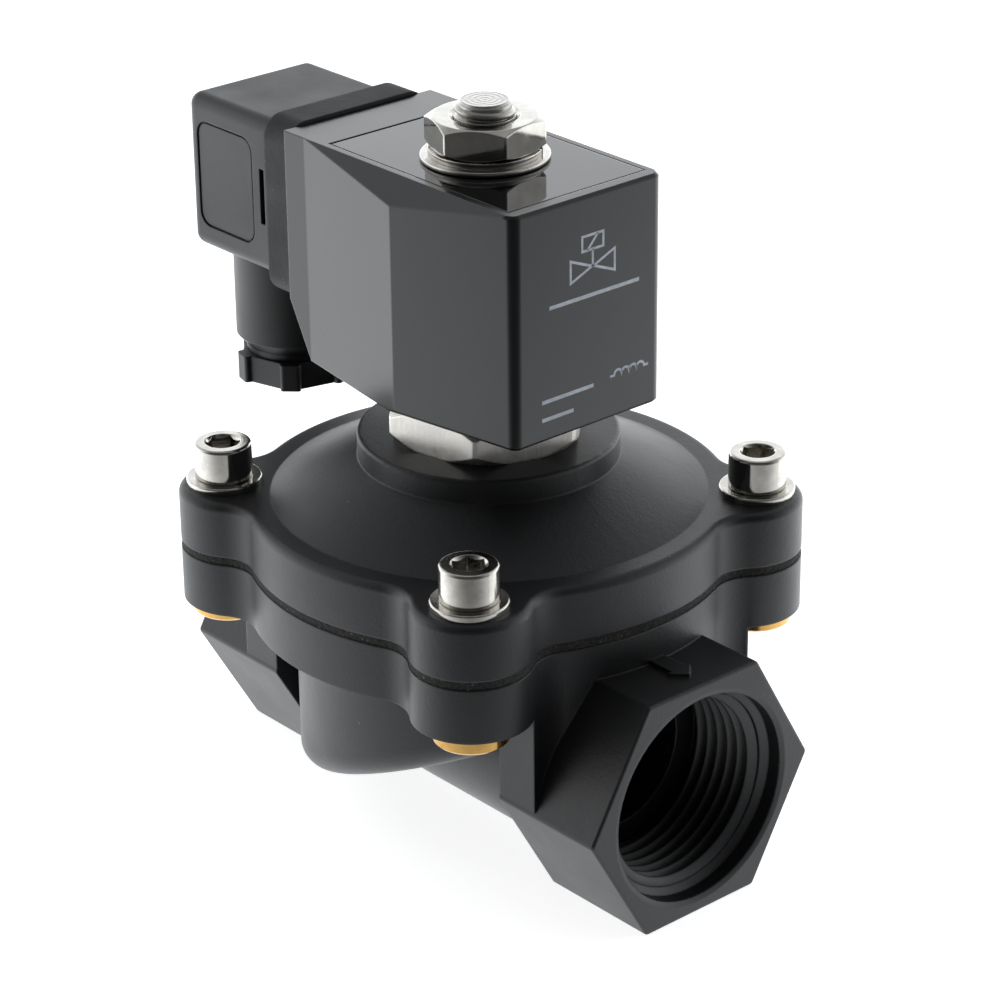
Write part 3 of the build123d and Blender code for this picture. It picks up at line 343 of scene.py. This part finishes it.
finishes = {
    "valve_moulding": mouldedPlastic("valveMoulding", {
        "grainSize": 1900.0, "cloudSize": 45.0, "bump": 0.55, "bumpDepth": 0.10 * mm,
        "speckSpacing": 260.0, "speckSize": 0.04, "speckAmount": 0.16, "speckColour": (0.10, 0.10, 0.095),
        "dark": (0.0048, 0.0052, 0.0060), "light": (0.0085, 0.0090, 0.0102),
        "rubbed": (0.016, 0.0165, 0.0175), "roughness": (0.41, 0.51), "edge": 0.45 * mm, "specular": 0.5}),
    "coil_moulding": mouldedPlastic("coilMoulding", {
        "grainSize": 1500.0, "cloudSize": 30.0, "bump": 0.06, "bumpDepth": 0.03 * mm,
        "speckSpacing": 220.0, "speckSize": 0.035, "speckAmount": 0.06, "speckColour": (0.10, 0.10, 0.10),
        "dark": (0.0035, 0.0037, 0.0042), "light": (0.0055, 0.0058, 0.0066),
        "rubbed": (0.012, 0.012, 0.013), "roughness": (0.20, 0.28), "edge": 0.35 * mm, "specular": 0.5}),
    "plug_moulding": mouldedPlastic("plugMoulding", {
        "grainSize": 2200.0, "cloudSize": 60.0, "bump": 0.45, "bumpDepth": 0.06 * mm,
        "speckSpacing": 300.0, "speckSize": 0.04, "speckAmount": 0.10, "speckColour": (0.10, 0.10, 0.10),
        "dark": (0.0055, 0.0058, 0.0066), "light": (0.0090, 0.0094, 0.0104),
        "rubbed": (0.018, 0.018, 0.019), "roughness": (0.44, 0.56), "edge": 0.35 * mm, "specular": 0.5}),
    "gasket_rubber": mouldedPlastic("gasketRubber", {
        "grainSize": 1300.0, "cloudSize": 140.0, "bump": 0.8, "bumpDepth": 0.14 * mm,
        "speckSpacing": 520.0, "speckSize": 0.09, "speckAmount": 0.22, "speckColour": (0.09, 0.088, 0.08),
        "dark": (0.013, 0.013, 0.0135), "light": (0.031, 0.031, 0.031),
        "rubbed": (0.035, 0.034, 0.032), "roughness": (0.6, 0.8), "edge": 0.5 * mm, "specular": 0.4}),
    "diaphragm_rubber": mouldedPlastic("diaphragmRubber", {
        "grainSize": 1500.0, "cloudSize": 1500.0, "bump": 1.0, "bumpDepth": 0.3 * mm,
        "speckSpacing": 1100.0, "speckSize": 0.24, "speckAmount": 0.45, "speckColour": (0.075, 0.068, 0.06),
        "dark": (0.002, 0.002, 0.002), "light": (0.042, 0.040, 0.036),
        "rubbed": (0.03, 0.028, 0.025), "roughness": (0.75, 0.95), "edge": 0.2 * mm, "specular": 0.3}),
    "seal_rubber": mouldedPlastic("sealRubber", {
        "grainSize": 1800.0, "cloudSize": 200.0, "bump": 0.3, "bumpDepth": 0.05 * mm,
        "speckSpacing": 600.0, "speckSize": 0.06, "speckAmount": 0.1, "speckColour": (0.06, 0.06, 0.06),
        "dark": (0.008, 0.008, 0.008), "light": (0.014, 0.014, 0.014),
        "rubbed": (0.025, 0.025, 0.025), "roughness": (0.45, 0.6), "edge": 0.2 * mm, "specular": 0.45}),
    "bobbin_nylon": mouldedPlastic("bobbinNylon", {
        "grainSize": 1800.0, "cloudSize": 90.0, "bump": 0.2, "bumpDepth": 0.04 * mm,
        "speckSpacing": 400.0, "speckSize": 0.03, "speckAmount": 0.1, "speckColour": (0.3, 0.28, 0.2),
        "dark": (0.62, 0.58, 0.48), "light": (0.70, 0.66, 0.56),
        "rubbed": (0.74, 0.71, 0.63), "roughness": (0.4, 0.5), "edge": 0.2 * mm, "specular": 0.5}),
    "tape": mouldedPlastic("windingTape", {
        "grainSize": 900.0, "cloudSize": 200.0, "bump": 0.2, "bumpDepth": 0.04 * mm,
        "speckSpacing": 400.0, "speckSize": 0.03, "speckAmount": 0.1, "speckColour": (0.3, 0.2, 0.05),
        "dark": (0.55, 0.36, 0.05), "light": (0.65, 0.45, 0.08),
        "rubbed": (0.7, 0.5, 0.15), "roughness": (0.3, 0.45), "edge": 0.1 * mm, "specular": 0.5}),
    "yoke_lacquer": mouldedPlastic("yokeLacquer", {
        "grainSize": 500.0, "cloudSize": 25.0, "bump": 0.02, "bumpDepth": 0.03 * mm,
        "speckSpacing": 240.0, "speckSize": 0.035, "speckAmount": 0.12, "speckColour": (0.16, 0.16, 0.15),
        "dark": (0.0030, 0.0030, 0.0034), "light": (0.0048, 0.0048, 0.0052),
        "rubbed": (0.03, 0.03, 0.03), "roughness": (0.035, 0.06), "edge": 0.2 * mm, "specular": 0.5}),
    "screw_steel": metal("screwSteel", {
        "grainSize": 1500.0, "cloudSize": 300.0, "bump": 0.10, "bumpDepth": 0.03 * mm,
        "dark": (0.40, 0.385, 0.355), "light": (0.56, 0.54, 0.50), "rubbed": (0.80, 0.78, 0.74),
        "rings": {"Axis": screwAxis, "Fold": 1.0, "Rings": 11000.0}, "markShare": 0.5,
        "roughness": (0.09, 0.17), "edge": 0.25 * mm}),
    "nut_nickel": metal("nutNickel", {
        "grainSize": 1200.0, "cloudSize": 260.0, "bump": 0.10, "bumpDepth": 0.03 * mm,
        "dark": (0.36, 0.345, 0.315), "light": (0.50, 0.48, 0.445), "rubbed": (0.78, 0.76, 0.72),
        "rings": {"Axis": (0.0, 0.0, 0.0), "Fold": 0.0, "Rings": 9000.0}, "markShare": 0.7,
        "roughness": (0.06, 0.13), "edge": 0.3 * mm}),
    "guide_nickel": metal("guideNickel", {
        "grainSize": 900.0, "cloudSize": 260.0, "bump": 0.5, "bumpDepth": 0.06 * mm,
        "dark": (0.80, 0.77, 0.70), "light": (0.97, 0.95, 0.90), "rubbed": (0.97, 0.95, 0.90),
        "scores": {"Stretch": (1.0, 1.0, 0.08), "Size": 2600.0}, "markShare": 0.8,
        "roughness": (0.38, 0.56), "edge": 0.4 * mm}),
    "insert_brass": metal("insertBrass", {
        "grainSize": 1500.0, "cloudSize": 300.0, "bump": 0.15, "bumpDepth": 0.03 * mm,
        "dark": (0.42, 0.235, 0.065), "light": (0.60, 0.37, 0.12), "rubbed": (0.85, 0.60, 0.25),
        "scores": {"Stretch": (1.0, 1.0, 0.1), "Size": 2200.0}, "markShare": 0.5,
        "roughness": (0.16, 0.28), "edge": 0.2 * mm}),
    "pressed_steel": metal("pressedSteel", {
        "grainSize": 1200.0, "cloudSize": 200.0, "bump": 0.15, "bumpDepth": 0.03 * mm,
        "dark": (0.48, 0.48, 0.47), "light": (0.6, 0.6, 0.58), "rubbed": (0.7, 0.7, 0.68),
        "roughness": (0.25, 0.35), "edge": 0.2 * mm}),
    "tube_steel": metal("tubeSteel", {
        "grainSize": 1500.0, "cloudSize": 200.0, "bump": 0.1, "bumpDepth": 0.03 * mm,
        "dark": (0.5, 0.49, 0.47), "light": (0.62, 0.61, 0.59), "rubbed": (0.7, 0.7, 0.68),
        "roughness": (0.2, 0.3), "edge": 0.2 * mm}),
    "magnetic_steel": metal("magneticSteel", {
        "grainSize": 1400.0, "cloudSize": 220.0, "bump": 0.6, "bumpDepth": 0.05 * mm,
        "dark": (0.30, 0.29, 0.27), "light": (0.42, 0.41, 0.385), "rubbed": (0.66, 0.65, 0.62),
        "rings": {"Axis": (0.0, 0.0, 0.0), "Fold": 0.0, "Rings": 7000.0}, "markShare": 1.2,
        "roughness": (0.20, 0.30), "edge": 0.25 * mm}),
    "copper": metal("bareCopper", {
        "grainSize": 1300.0, "cloudSize": 220.0, "bump": 0.2, "bumpDepth": 0.03 * mm,
        "dark": (0.55, 0.22, 0.12), "light": (0.75, 0.36, 0.22), "rubbed": (0.8, 0.45, 0.3),
        "roughness": (0.25, 0.38), "edge": 0.1 * mm}),
    "spring_steel": metal("springSteel", {
        "grainSize": 1300.0, "cloudSize": 220.0, "bump": 0.1, "bumpDepth": 0.02 * mm,
        "dark": (0.4, 0.4, 0.4), "light": (0.52, 0.52, 0.52), "rubbed": (0.6, 0.6, 0.6),
        "roughness": (0.22, 0.34), "edge": 0.05 * mm}),
    "blade_tin": metal("bladeTin", {
        "grainSize": 1300.0, "cloudSize": 220.0, "bump": 0.1, "bumpDepth": 0.02 * mm,
        "dark": (0.56, 0.56, 0.55), "light": (0.68, 0.68, 0.67), "rubbed": (0.75, 0.75, 0.74),
        "roughness": (0.22, 0.34), "edge": 0.1 * mm}),
}

for part in frame["record"]["subparts"]:
    node = nodes[part["node"]]
    node.data.materials.clear()
    node.data.materials.append(finishes[part["material_slot"]])
print("finishes placed on", len(nodes), "nodes")


pipeThread = {
    "wallRadius": 16.74 * mm,
    "crestRadius": 15.16 * mm,
    "pitch": 2.309 * mm,
    "firstCrest": 47.5 * mm,
    "openEnd": 46.98 * mm,
    "turns": 6.7,
    "flat": 0.05,
    "startTurn": 0.9,
}

studThread = {
    "wallRadius": 4.24 * mm,
    "crestRadius": 4.88 * mm,
    "pitch": 1.5 * mm,
    "firstCrest": 102.95 * mm,
    "openEnd": 103.6 * mm,
    "turns": 1.7,
    "flat": 0.12,
    "startTurn": 2.4,
}

# the cut that all threads share: where the flanks start, in pitches from the crest, the rows of points
# across them, the points in a turn, and the angle over which a thread runs out at its ends
threadCut = {
    "flank": 0.47,
    "rows": (0.5, 0.46, 0.33, 0.19, 0.09, 0.035),
    "stepsPerTurn": 96,
    "runOut": 1.1,
    "smoothAngle": 40,
}


def threadRidge(name, spec, toWorld):
    # A helix carries a ridge. Angle t runs along the helix and s, in pitches, across the ridge: the place
    # along the axis falls one pitch a turn, and the radius goes from wall to crest and back as a V in s with
    # a flat top. The open end cuts the first turn off square.
    sweep = spec["turns"] * 2 * np.pi
    t = np.linspace(0, sweep, int(spec["turns"] * threadCut["stepsPerTurn"]))[:, None]
    half = np.array(threadCut["rows"])
    s = np.concatenate([-half, half[::-1]])[None, :]
    rise = np.clip((threadCut["flank"] - np.abs(s)) / (threadCut["flank"] - spec["flat"]), 0, 1)
    fade = np.clip(np.minimum(t, sweep - t) / threadCut["runOut"], 0, 1)
    radius = spec["wallRadius"] + (spec["crestRadius"] - spec["wallRadius"]) * rise * fade
    along = spec["firstCrest"] - t / (2 * np.pi) * spec["pitch"] + s * spec["pitch"]
    along = np.minimum(along, spec["openEnd"])
    turn = t + spec["startTurn"] + 0 * s
    points = toWorld(along, radius * np.cos(turn), radius * np.sin(turn))
    return shadeSmooth(pieceFromGrids(name, [(points, False, True, True)]), threadCut["smoothAngle"])


def outletFrame(along, across, up):
    return np.stack([along, across, up], -1)


def inletFrame(along, across, up):
    return np.stack([-along, -across, up], -1)


def studFrame(along, across, up):
    return np.stack([across, up, along], -1)


for name, spec, toWorld, slotName in (
        ("outletThread", pipeThread, outletFrame, "valve_moulding"),
        ("inletThread", pipeThread, inletFrame, "valve_moulding"),
        ("studThread", studThread, studFrame, "magnetic_steel")):
    finishPiece(threadRidge(name, spec, toWorld), "valve", finishes[slotName])
print("threads cut")


# printed signs on the coil's front, in millimetres across and up: a valve sign, rules and a winding sign
coilPrint = {
    "line": 0.42,
    "ruleLine": 0.63,
    "mitreLimit": 0.35,
    "thick": 0.02,
    "sunk": 0.02,
    "signPlace": (0.8, 84.2),
    "bowHalfWidth": 4.6, "bowLow": -3.4, "bowHigh": 0.2, "bowGap": 0.15,
    "boxHalfWidth": 2.2, "boxLow": 1.2, "boxHigh": 3.6, "slantHalfWidth": 1.1,
    "rules": (((-8.2, 77.9), (10.6, 77.9)), ((-9.8, 62.6), (1.0, 62.6)), ((-9.8, 59.6), (-3.2, 59.6))),
    "windingPlace": (8.6, 63.0),
    "windingBumps": 4, "bumpRadius": 0.8, "bumpPoints": 13, "leadLength": 0.9,
    "ink": (0.56, 0.61, 0.68), "inkDim": 0.7,
}


def inkStroke(path, width, closed=False):
    # a line of ink: a thin oblong section carried along a path. Where two steps meet, the side is square to
    # their mean, and its reach is half the width over the cosine of half their turn
    path = np.asarray(path, float)
    if closed:
        before, after = path - np.roll(path, 1, 0), np.roll(path, -1, 0) - path
    else:
        steps = np.diff(path, axis=0)
        before, after = np.vstack([steps[:1], steps]), np.vstack([steps, steps[-1:]])
    before = before / np.linalg.norm(before, axis=1, keepdims=True)
    after = after / np.linalg.norm(after, axis=1, keepdims=True)
    side = np.stack([-(before + after)[:, 1], (before + after)[:, 0]], -1)
    side = side / np.linalg.norm(side, axis=1, keepdims=True)
    square = np.stack([-after[:, 1], after[:, 0]], -1)
    reach = width / 2 / np.clip(np.abs(np.sum(side * square, 1)), coilPrint["mitreLimit"], 1)
    left, right = path + side * reach[:, None], path - side * reach[:, None]
    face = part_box("coil_jacket")[1].x / mm
    back, front = face - coilPrint["sunk"], face + coilPrint["thick"]
    depth = np.array([back, back, front, front])[None, :] + 0 * path[:, :1]
    across = np.stack([left, right, right, left], 1)
    points = np.concatenate([depth[..., None], across], -1) * mm
    return points, closed, True, not closed


def valveSign(place, line):
    # two triangles tip to tip, a stem, and a box with a slanting stroke over them
    y, z = place
    wide, gap = coilPrint["bowHalfWidth"], coilPrint["bowGap"]
    low, high = z + coilPrint["bowLow"], z + coilPrint["bowHigh"]
    middle = (low + high) / 2
    foot, top = z + coilPrint["boxLow"], z + coilPrint["boxHigh"]
    boxHalf, slantHalf = coilPrint["boxHalfWidth"], coilPrint["slantHalfWidth"]
    left = [(y - wide, low), (y - wide, high), (y - gap, middle)]
    right = [(y + wide, high), (y + wide, low), (y + gap, middle)]
    stem = [(y, middle), (y, foot)]
    box = [(y - boxHalf, foot), (y + boxHalf, foot), (y + boxHalf, top), (y - boxHalf, top)]
    slant = [(y - slantHalf, foot), (y + slantHalf, top)]
    shapes = [(left, True), (right, True), (stem, False), (box, True), (slant, False)]
    return [inkStroke(path, line, closed) for path, closed in shapes]


def windingSign(place, line):
    # a lead, a row of half circles, and a lead; points that fall on each other between bumps are dropped
    y, z = place
    count, radius = coilPrint["windingBumps"], coilPrint["bumpRadius"]
    lead = (coilPrint["leadLength"], 0)
    angle = np.linspace(0, np.pi, coilPrint["bumpPoints"])
    bumps = np.concatenate([
        np.stack([y + (2 * k - count + 1 - np.cos(angle)) * radius, z + radius * np.sin(angle)], -1)
        for k in range(count)])
    keep = np.concatenate([[True], np.linalg.norm(np.diff(bumps, axis=0), axis=1) > 1e-6])
    return [inkStroke(np.vstack([bumps[0] - lead, bumps[keep], bumps[-1] + lead]), line)]


def printCoilFront():
    line = coilPrint["line"]
    grids = valveSign(coilPrint["signPlace"], line) + windingSign(coilPrint["windingPlace"], line)
    grids += [inkStroke(path, coilPrint["ruleLine"]) for path in coilPrint["rules"]]
    material, tree, shader = startMaterial("paleInk")
    grain = placeGroup(tree, mouldGrain, Grain_Size=3000.0, Cloud_Size=900.0)
    dim = tuple(coilPrint["inkDim"] * v for v in coilPrint["ink"])
    ink = mixColour(tree, grain.outputs["Cloud"], dim, coilPrint["ink"])
    tree.links.new(ink, shader.inputs["Base Color"])
    shader.inputs["Roughness"].default_value = 0.55
    finishPiece(pieceFromGrids("coilPrint", grids), "coil", material)


printCoilFront()
print("signs printed")


# each Front is the direction in which the light falls off
studio = {
    "skyFront": (0.756, -0.655, 0.0), "skyFrom": -0.4, "skyTo": 0.75, "skyBright": 2.4, "skyDim": 0.1,
    "zenithFrom": 0.05, "zenithTo": 0.85, "zenithDim": 0.24,
    "floorFront": (0.80, -0.60, 0.0), "floorFrom": -60 * mm, "floorTo": 220 * mm,
    "floorBright": 2.4, "floorDim": 0.12,
    # painted shade: from shadeFrom to shadeTo the glow the floor throws back is dimmed near the object,
    # standing in for its shadow on the floor
    "shadeFrom": 30 * mm, "shadeTo": 120 * mm, "shadeDim": 0.75,
    "floorHalf": 3.0, "floorGlow": 0.85, "floorDark": (0.93, 0.93, 0.93), "floorLight": (0.95, 0.95, 0.95),
    "skyTint": (0.945, 0.97, 1.0), "floorTint": (0.955, 0.975, 1.0),
    "panelPlace": (-0.60, -0.60, 0.55), "panelAim": (0, 0, 0.04),
    "panelSize": (0.5, 0.7), "panelPower": 0.5,
}


def studioFade(tree, place, part):
    # brightness falls from behind the object to the front
    along = vectorNode(tree, "DOT_PRODUCT", place, studio[part + "Front"], "Value")
    start, end, bright, dim = (studio[part + word] for word in ("From", "To", "Bright", "Dim"))
    return rampNode(tree, along, start, end, bright, dim, soft=True)


def buildFloor():
    # a flat floor at the object's lowest point; what it throws back on the object fades towards the front
    low = min(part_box(name)[0].z for name in nodes)
    edge = np.linspace(-studio["floorHalf"], studio["floorHalf"], 3)
    across, along = np.meshgrid(edge, edge, indexing="ij")
    points = np.stack([across, along, np.full_like(across, low)], -1)
    floor = pieceFromGrids("floor", [(points, False, False, False)])
    material, tree, shader = startMaterial("paleFloor")
    grain = placeGroup(tree, mouldGrain, Grain_Size=40.0, Cloud_Size=3.0)
    colour = mixColour(tree, grain.outputs["Cloud"], studio["floorDark"], studio["floorLight"])
    tree.links.new(colour, shader.inputs["Base Color"])
    tree.links.new(colour, shader.inputs["Emission Color"])
    shader.inputs["Emission Strength"].default_value = studio["floorGlow"]
    shader.inputs["Roughness"].default_value = 0.95
    glow = tree.nodes.new("ShaderNodeEmission")
    glow.inputs["Color"].default_value = (*studio["floorTint"], 1.0)
    flat = vectorNode(tree, "MULTIPLY", objectPlace(tree), (1.0, 1.0, 0.0))
    distance = vectorNode(tree, "LENGTH", flat, None, "Value")
    # painted shade: the thrown glow is darkened close to the object, in place of the shadow the object would
    # cast on the floor
    near, far = studio["shadeFrom"], studio["shadeTo"]
    shade = rampNode(tree, distance, near, far, studio["shadeDim"], 1.0, soft=True)
    thrown = mathNode(tree, "MULTIPLY", studioFade(tree, objectPlace(tree), "floor"), shade)
    tree.links.new(thrown, glow.inputs["Strength"])
    mix = tree.nodes.new("ShaderNodeMixShader")
    tree.links.new(tree.nodes.new("ShaderNodeLightPath").outputs["Is Camera Ray"], mix.inputs["Fac"])
    tree.links.new(glow.outputs[0], mix.inputs[1])
    tree.links.new(shader.outputs[0], mix.inputs[2])
    tree.links.new(mix.outputs[0], tree.nodes["Material Output"].inputs["Surface"])
    floor.data.materials.append(material)


def buildSky():
    # white where the camera looks past the floor; for the object, bright behind, dim in front and overhead
    world = bpy.data.worlds.new("studioWorld")
    bpy.context.scene.world = world
    world.use_nodes = True
    tree = world.node_tree
    direction = tree.nodes.new("ShaderNodeTexCoord").outputs["Generated"]
    around = studioFade(tree, direction, "sky")
    height = vectorNode(tree, "DOT_PRODUCT", direction, (0.0, 0.0, 1.0), "Value")
    low, high = studio["zenithFrom"], studio["zenithTo"]
    above = rampNode(tree, height, low, high, 1.0, studio["zenithDim"], soft=True)
    glow = mathNode(tree, "MULTIPLY", around, above)
    seen = tree.nodes.new("ShaderNodeLightPath").outputs["Is Camera Ray"]
    kept = mathNode(tree, "MULTIPLY", glow, mathNode(tree, "SUBTRACT", 1.0, seen))
    sky = tree.nodes["Background"]
    tree.links.new(mixColour(tree, seen, studio["skyTint"], (1.0, 1.0, 1.0)), sky.inputs["Color"])
    tree.links.new(mathNode(tree, "ADD", kept, seen), sky.inputs["Strength"])


def softBox(name, place, aim, size, power):
    # a square-cornered lamp whose face looks at aim
    light = bpy.data.lights.new(name, "AREA")
    light.shape = "RECTANGLE"
    light.size, light.size_y = size
    light.energy = power
    lamp = bpy.data.objects.new(name, light)
    bpy.context.scene.collection.objects.link(lamp)
    lamp.location = place
    lamp.rotation_euler = (Vector(aim) - Vector(place)).to_track_quat("-Z", "Y").to_euler()


cameraPlace = {
    "azimuth": 49.081, "elevation": 24.888, "roll": -0.626,
    "distance": 566.93 * mm,
    "shiftRight": 1.725 * mm, "height": 34.822 * mm,
    "lens": 124.18, "sensor": 36.0,
}


def lookCamera(spec):
    # the camera stands on a sphere round the target, first turned by azimuth, then raised, then rolled
    a, e, r = (math.radians(spec[key]) for key in ("azimuth", "elevation", "roll"))
    back = Vector((math.sin(a) * math.cos(e), -math.cos(a) * math.cos(e), math.sin(e)))
    right = Vector((math.cos(a), math.sin(a), 0))
    target = right * spec["shiftRight"] + Vector((0, 0, spec["height"]))
    up = back.cross(right)
    right, up = right * math.cos(r) + up * math.sin(r), up * math.cos(r) - right * math.sin(r)
    data = bpy.data.cameras.new("camera")
    data.lens = spec["lens"]
    data.sensor_width = spec["sensor"]
    camera = bpy.data.objects.new("camera", data)
    bpy.context.scene.collection.objects.link(camera)
    turn = Matrix((right, up, back)).transposed().to_4x4()
    camera.matrix_world = Matrix.Translation(target + back * spec["distance"]) @ turn
    bpy.context.scene.camera = camera


buildFloor()
buildSky()
lookCamera(cameraPlace)
softBox("leftPanel", studio["panelPlace"], studio["panelAim"], studio["panelSize"], studio["panelPower"])
bpy.context.scene.view_settings.view_transform = "Standard"
print("studio lit")
